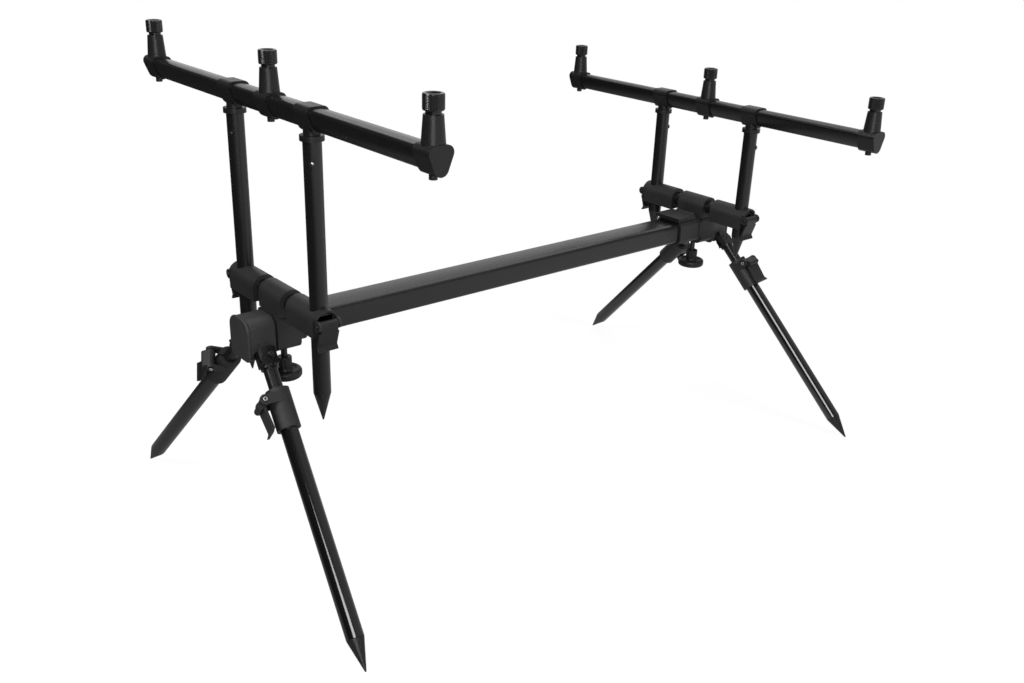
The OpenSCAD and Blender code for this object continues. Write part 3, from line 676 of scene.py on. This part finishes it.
class RODPOD_OT_knobs(Operator):
    """Turn the tilt knobs"""

    bl_idname = "rod_pod.knobs"
    bl_label = "Tilt knobs"

    steps_round = 96
    # Heights between which the hub is fluted, the least radius there, the flutes' depth and the
    # height at which the steel stud starts, in metres.
    flutes_from, flutes_to, fluted_past = 0.0098, 0.0192, 0.005
    flute_depth = 0.0006
    stud_from = 0.0206

    def outline(self, top):
        """Profile in millimetres from the hollow under the knob to the top of its stud."""
        hollow = [(0, 3), (9.2, 3)] + arc((9.2, 2.2), 0.8, 90, 0, 4) + [(10.2, 0.5), (10.6, 0.1)]
        rim = arc((13, 3), 3, -90, 0, 8) + arc((13, 5.5), 3, 0, 90, 8)
        dish = [
            (12.2, 8.42), (11.2, 8.05), (10.2, 7.5), (9.2, 7.15), (8.2, 7.25), (7.5, 7.8),
            (7.1, 8.6), (7.0, 9.6)]
        hub = [(7.0, 10 + 1.5 * i) for i in range(7)] + arc((6.2, 19.7), 0.8, 0, 90, 4)
        stud = [(3.4, 20.5), (3.05, 20.3), (3.0, 20.6), (3.0, top - 0.6), (2.4, top), (0, top)]
        return hollow + rim + dish + hub + stud

    def execute(self, context):
        flutes = context.scene.rod_pod_trim.flutes

        def fluted(radius, angle, z):
            if self.flutes_from < z < self.flutes_to and radius > self.fluted_past:
                return radius - self.flute_depth * (0.5 + 0.5 * math.cos(flutes * angle)) ** 2
            return radius

        for end in ENDS:
            node = f"{end}_tilt_knob"
            low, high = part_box(node)
            at = Matrix.Translation((0, (low.y + high.y) / 2, low.z))
            solid = turned(self.outline((high.z - low.z) * MM), self.steps_round, at, fluted)
            for face in solid.faces:
                face.material_index = int(face.calc_center_median().z > low.z + self.stud_from)
            crease(solid, CREASE)
            place(
                node + "_turned", solid, [finish("handle"), finish("steel")],
                NODE_BODY[node], (node,))
        return {"FINISHED"}


class RODPOD_OT_post_clamps(Operator):
    """Finish the post clamps and their levers"""

    bl_idname = "rod_pod.post_clamps"
    bl_label = "Post clamps"

    recess_rim, recess_depth = 0.0009, 0.0019  # in metres

    def recess(self, solid):
        """Sinks a clamp's outer end below its rim, so that it lies in the shade of the hood."""
        out = math.copysign(1.0, sum(v.co.x for v in solid.verts))
        ends = [f for f in solid.faces if f.normal.x * out > 0.99]
        x = max(ends, key=lambda f: f.calc_area()).calc_center_median().x
        flat = [f for f in ends if abs(f.calc_center_median().x - x) < 1e-5]
        bmesh.ops.inset_region(
            solid, faces=flat, use_boundary=True, use_even_offset=True,
            thickness=self.recess_rim, depth=-self.recess_depth)

    def execute(self, context):
        trim = context.scene.rod_pod_trim
        for end in ENDS:
            for side in SIDES:
                clamp, lever = f"{end}_{side}_post_clamp", f"{end}_{side}_post_lever"
                dress(clamp, trim.moulding_edge, "clamp", shape=self.recess)
                dress(lever, trim.moulding_edge, steel=1)
                rivets = pin_ends(lever + "_flip", LEVER_PIN)
                bright_ends(lever + "_rivets", rivets, lever)
        return {"FINISHED"}


class RODPOD_OT_legs(Operator):
    """Finish the legs, their clamps and levers"""

    bl_idname = "rod_pod.legs"
    bl_label = "Legs"

    def execute(self, context):
        trim = context.scene.rod_pod_trim
        for end in ENDS:
            for side in SIDES:
                leg = f"{end}_{side}_leg"
                lever = leg + "_lever"
                dress(leg + "_arm", trim.tube_edge, steel=1, inner=False)
                dress(leg + "_clamp", trim.moulding_edge, "clamp", inner=False)
                dress(lever, trim.moulding_edge, steel=1, inner=False)
                rivets = pin_ends(lever + "_flip", LEVER_PIN, BRIGHT)
                bright_ends(lever + "_rivets", rivets, lever)
                heads = both_ends(leg + "_fold", HINGE_SCREW, socket_head)
                bright_ends(leg + "_screw_heads", heads, leg)
                dress(leg + "_tube", trim.tube_edge)
                dress(leg + "_foot", trim.tube_edge, "fitting")
        return {"FINISHED"}


class RODPOD_OT_goalposts(Operator):
    """Finish the uprights, bars, tees and holders"""

    bl_idname = "rod_pod.goalposts"
    bl_label = "Goalposts"

    # Radii of the bar's keel and shoulders and its wall, in millimetres.
    keel, shoulder, wall = 4.5, 3.5, 1.5
    # Each cross screw's place across, its turn in degrees and its finish, and the screws' drop
    # under the uprights' tops and the reach of their ends, in metres.
    screws = ((0.069, 58.0, BRIGHT), (-0.069, 36.0, STEEL))
    screw_drop, screw_reach = 0.0221, 0.00905

    def bar(self, end, swell):
        """Draws a bar's shield-shaped tube."""
        low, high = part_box(f"{end}_bar_tube")
        tall = (high.z - low.z) * MM
        half = (high.y - low.y) * MM / 2 - self.shoulder
        corners = [
            (0, self.keel - tall, self.keel),
            (half, -self.shoulder, self.shoulder),
            (-half, -self.shoulder, self.shoulder)]
        tube = drawn_tube(
            bulged(corners, swell, SIDE_CUTS),
            bulged([(x, z, r - self.wall) for x, z, r in corners], 0, SIDE_CUTS),
            BAR_AXES, Vector((low.x, (low.y + high.y) / 2, high.z)), high.x - low.x)
        place(
            f"{end}_bar_drawn", tube, [finish("anodised_bar")], f"{end}_goalpost",
            (f"{end}_bar_tube",))

    def cross_screws(self, end):
        """Puts domed ends on the screws through the tees."""
        low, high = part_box(f"{end}_tees")
        y, z = (low.y + high.y) / 2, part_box(f"{end}_uprights")[1].z - self.screw_drop
        outwards = -1 if end == "front" else 1
        heads = []
        for x, degrees, tone in self.screws:
            turn = math.radians(degrees)
            way = Vector((math.sin(turn), outwards * math.cos(turn), 0))
            at = on_axis(Vector((x, y, z)) + way * self.screw_reach, way)
            heads.append(turned(DOME, DOME_STEPS, at, material=tone))
        bright_ends(f"{end}_cross_screw_ends", heads, f"{end}_goalpost")

    def execute(self, context):
        trim = context.scene.rod_pod_trim
        for end in ENDS:
            dress(f"{end}_uprights", trim.tube_edge)
            dress(f"{end}_upright_spikes", trim.tube_edge)
            self.bar(end, trim.bar_swell)
            dress(f"{end}_tees", trim.moulding_edge, "fitting")
            self.cross_screws(end)
            dress(f"{end}_holders", trim.moulding_edge, "fitting")
        return {"FINISHED"}


class RODPOD_OT_inserts(Operator):
    """Turn the knurled and threaded inserts"""

    bl_idname = "rod_pod.inserts"
    bl_label = "Inserts"

    # Radii of the bore and the knurled band, the rows of the knurl and the thread's length, in
    # millimetres, with the points on each turn of the thread.
    bore, band = 4.76, 7.8
    knurl_rows = 11
    thread_length, thread_points = 11.6, 4
    # Radii and heights within which the bore is threaded, the thread's slope and the least radius
    # of the knurled band, in metres.
    threaded_radii, threaded_heights = (0.0047, 0.0048), (-0.0126, -0.0009)
    thread_slope = 0.0009
    band_past = 0.00779

    def outline(self, pitch):
        """Profile in millimetres under the insert's top, from the bore's floor to the shank."""
        bore, band = self.bore, self.band
        points = self.thread_points * int(self.thread_length / (pitch * MM))
        profile = [(0, -13), (4.4, -13), (bore, -12.65)]
        profile += [(bore, -12.5 + 11.5 * i / points) for i in range(points + 1)]
        profile += [(bore, -0.85), (5.5, -0.12), (5.7, 0), (7.1, 0), (7.5, -0.18), (7.78, -0.6)]
        profile += [(band, -0.8 - 10.4 * i / (self.knurl_rows - 1)) for i in range(self.knurl_rows)]
        profile += [(7.78, -11.4), (7.5, -11.82), (7.1, -12), (5.95, -12), (5.75, -12.2)]
        return profile + [(5.75, -14.55), (5, -14.55), (5, -26.6), (0, -26.6)]

    def execute(self, context):
        trim = context.scene.rod_pod_trim
        nearest, furthest = self.threaded_radii
        bottom, top = self.threaded_heights

        def threaded(radius, angle, z):
            if nearest < radius < furthest and bottom < z < top:
                wave = (z / trim.thread_pitch + angle / (2 * math.pi)) % 1.0
                return radius + self.thread_slope * abs(wave - 0.5)
            return radius

        profile = self.outline(trim.thread_pitch)
        for end in ENDS:
            for spot in PLACES:
                node = f"{end}_{spot}_insert"
                low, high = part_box(node)
                at = Matrix.Translation(((low.x + high.x) / 2, (low.y + high.y) / 2, high.z))
                solid = turned(profile, trim.knurl_count, Matrix(), threaded)
                knurl = [
                    f for f in solid.faces
                    if all(math.hypot(v.co.x, v.co.y) > self.band_past for v in f.verts)]
                bmesh.ops.poke(
                    solid, faces=knurl, offset=trim.knurl_depth, center_mode="MEAN_WEIGHTED")
                bmesh.ops.transform(solid, matrix=at, verts=solid.verts)
                crease(solid, KNURL_CREASE)
                place(
                    node + "_turned", solid, [finish("insert")],
                    NODE_BODY[node], (node,))
        return {"FINISHED"}


class RODPOD_OT_stage(Operator):
    """Set up the floor, the light and the camera"""

    bl_idname = "rod_pod.stage"
    bl_label = "Stage"

    # The camera's place and its own axes, fitted to the photograph.
    camera_at = Vector((0.82035, -0.71389, 0.59657))
    right = Vector((0.64126, 0.76658, 0.03381))
    up = Vector((-0.31935, 0.22656, 0.92015))
    back = Vector((0.69771, -0.60086, 0.39010))

    pod_middle = (0, 0, 0.2)
    pod_reach = (0.45, 0.6)  # half sizes of the floor that the pod stands on, in metres
    dim_bounce = 0.35  # share of the floor's colour that lights the pod from below
    painted_glow_way = (0.64, 0.77, 0.0)  # way in which the floor's painted glow brightens in gloss

    # Directions of the studio's bright places that gloss sees, and the light beside them.
    screen_way, wall_way = (-0.87, 0.49, 0.07), (0.5, 0.72, 0.48)
    screen_light, wall_light, dark_light = 1.05, 0.42, 0.03
    soft_light = 0.2  # the studio's light on all that isn't gloss

    def lamp(self, name, at, target, size, power, mirrored=True):
        light = bpy.data.lights.new(name, "AREA")
        light.shape = "RECTANGLE"
        light.size, light.size_y = size
        light.energy = power
        lamp = bpy.data.objects.new(name, light)
        lamp.location = at
        lamp.visible_glossy = mirrored
        aim = Vector(target) - Vector(at)
        lamp.rotation_euler = aim.to_track_quat("-Z", "Y").to_euler()
        bpy.context.scene.collection.objects.link(lamp)

    def mix(self, shade, factor, first, second):
        return shade.node("ShaderNodeMixShader", {}, {0: factor, 1: first, 2: second})

    def paper(self, colour):
        """Paper that is white to the camera but for the pod's shadow, and dim in gloss, where it glows with
        painted light: a painted pool of light near the pod and a glow that brightens towards the right.
        """
        material, shade, shader = new_material("floor_paper")
        shader.inputs["Roughness"].default_value = 0.9
        shader.inputs["Specular IOR Level"].default_value = 0.1
        seen = shade.node("ShaderNodeLightPath", out="Is Camera Ray")
        mirrored = shade.node("ShaderNodeLightPath", out="Is Glossy Ray")
        through = shade.node("ShaderNodeLightPath", out="Is Transmission Ray")
        white = shade.node("ShaderNodeEmission", {}, {"Color": (1, 1, 1, 1), "Strength": 1.0})
        bounce = tinted(shade, seen, colour, low=self.dim_bounce, high=1.0)
        shade.feed(bounce, shader.inputs["Base Color"])
        where = object_coordinates(shade)
        shares = (1 / self.pod_reach[0], 1 / self.pod_reach[1], 0.0)
        spot = shade.node(
            "ShaderNodeVectorMath", {"operation": "MULTIPLY"}, {0: where, 1: shares})
        away = shade.node("ShaderNodeVectorMath", {"operation": "LENGTH"}, {0: spot}, out="Value")
        # Painted light for gloss: the floor glows, more near the pod and more towards the right.
        painted_pool_near = eased(shade, away, start=0.7, end=1.6, low=0.2, high=0.0)
        across = reach(shade, where, self.painted_glow_way)
        far = eased(shade, across, start=-0.5, end=0.9, low=0.04, high=0.75)
        painted_floor_glow = shade.node("ShaderNodeEmission", {}, {"Color": painted_pool_near + far})
        lit = self.mix(shade, mirrored, Value(shade, shader.outputs[0]), painted_floor_glow)
        plain = eased(shade, away, start=0.7, end=2.2, low=0.88, high=1.0)
        mixed = self.mix(shade, (seen + through) * plain, lit, white)
        shade.feed(mixed, material.node_tree.nodes["Material Output"].inputs["Surface"])
        return material

    def floor(self, stage):
        plate = bmesh.new()
        bmesh.ops.create_grid(plate, x_segments=1, y_segments=1, size=stage.floor_size / 2)
        mesh = bpy.data.meshes.new("floor")
        plate.to_mesh(mesh)
        plate.free()
        mesh.materials.append(self.paper(stage.floor))
        plane = bpy.data.objects.new("floor", mesh)
        bpy.context.scene.collection.objects.link(plane)

    def lobe(self, shade, way, middle, start, full):
        """A soft bright patch of the studio about a direction."""
        return eased(shade, reach(shade, way, middle), start, full, low=0.0, high=1.0)

    def sky(self, context):
        """White to the camera. Gloss sees a long low screen behind the pod and a wall beside it."""
        world = bpy.data.worlds.new("studio")
        world.use_nodes = True
        context.scene.world = world
        shade = Shade(world.node_tree)
        background = world.node_tree.nodes["Background"]
        seen = shade.node("ShaderNodeLightPath", out="Is Camera Ray")
        mirrored = shade.node("ShaderNodeLightPath", out="Is Glossy Ray")
        way = shade.node("ShaderNodeTexCoord", out="Generated")
        low_down = self.lobe(shade, way, UP, start=0.72, full=0.1)
        screen = self.lobe(shade, way, self.screen_way, start=0.72, full=0.99) * low_down
        wall = self.lobe(shade, way, self.wall_way, start=0.2, full=0.95)
        gloss = screen * self.screen_light + wall * self.wall_light + self.dark_light
        level = mirrored * gloss + (1.0 - mirrored) * self.soft_light
        level = seen + (1.0 - seen) * level
        shade.feed(level, background.inputs["Color"])

    def camera(self, context, stage):
        view = bpy.data.cameras.new("photo_view")
        view.sensor_width = 36.0
        view.lens = stage.lens
        view.clip_end = 100.0
        eye = bpy.data.objects.new("photo_view", view)
        turn = Matrix((self.right, self.up, self.back)).transposed().to_4x4()
        eye.matrix_world = Matrix.Translation(self.camera_at) @ turn
        context.scene.collection.objects.link(eye)
        context.scene.camera = eye

    def execute(self, context):
        stage = context.scene.rod_pod_stage
        self.floor(stage)
        self.sky(context)
        self.camera(context, stage)
        middle = self.pod_middle
        self.lamp("top_lamp", (-0.5, 0.6, 2.2), middle, (3.0, 3.0), stage.top_light)
        self.lamp(
            "strip_lamp", (1.444, -1.256, 0.993), (0.3, -0.26, 0.15), (0.85, 1.25),
            stage.strip_light)
        self.lamp(
            "right_lamp", (2.0, 0.6, 0.9), middle, (0.8, 0.8), stage.right_light, mirrored=False)
        self.lamp("fill_lamp", (-0.45, -2.0, 1.9), middle, (0.8, 0.8), stage.fill_light)
        context.scene.view_settings.view_transform = "Standard"
        return {"FINISHED"}


class RODPOD_PT_panel(Panel):
    """The pod's pieces and sizes in the sidebar"""

    bl_idname = "RODPOD_PT_panel"
    bl_label = "Rod pod"
    bl_space_type = "VIEW_3D"
    bl_region_type = "UI"
    bl_category = "Rod pod"

    def draw(self, context):
        for operator in OPERATORS:
            self.layout.operator(operator.bl_idname)
        scene = context.scene
        for group in (scene.rod_pod_finish, scene.rod_pod_trim, scene.rod_pod_stage):
            for key in group.__annotations__:
                self.layout.prop(group, key)


GROUPS = (PodFinish, PodTrim, PodStage)
OPERATORS = (
    RODPOD_OT_beam,
    RODPOD_OT_heads,
    RODPOD_OT_knobs,
    RODPOD_OT_post_clamps,
    RODPOD_OT_legs,
    RODPOD_OT_goalposts,
    RODPOD_OT_inserts,
    RODPOD_OT_stage,
)


def register():
    for kind in (*GROUPS, *OPERATORS, RODPOD_PT_panel):
        bpy.utils.register_class(kind)
    bpy.types.Scene.rod_pod_finish = PointerProperty(type=PodFinish)
    bpy.types.Scene.rod_pod_trim = PointerProperty(type=PodTrim)
    bpy.types.Scene.rod_pod_stage = PointerProperty(type=PodStage)


def unregister():
    del bpy.types.Scene.rod_pod_stage
    del bpy.types.Scene.rod_pod_trim
    del bpy.types.Scene.rod_pod_finish
    for kind in reversed((*GROUPS, *OPERATORS, RODPOD_PT_panel)):
        bpy.utils.unregister_class(kind)


def main():
    register()
    bpy.ops.rod_pod.beam()
    bpy.ops.rod_pod.heads()
    bpy.ops.rod_pod.knobs()
    bpy.ops.rod_pod.post_clamps()
    bpy.ops.rod_pod.legs()
    bpy.ops.rod_pod.goalposts()
    bpy.ops.rod_pod.inserts()
    bpy.ops.rod_pod.stage()


if __name__ == "__main__":
    main()
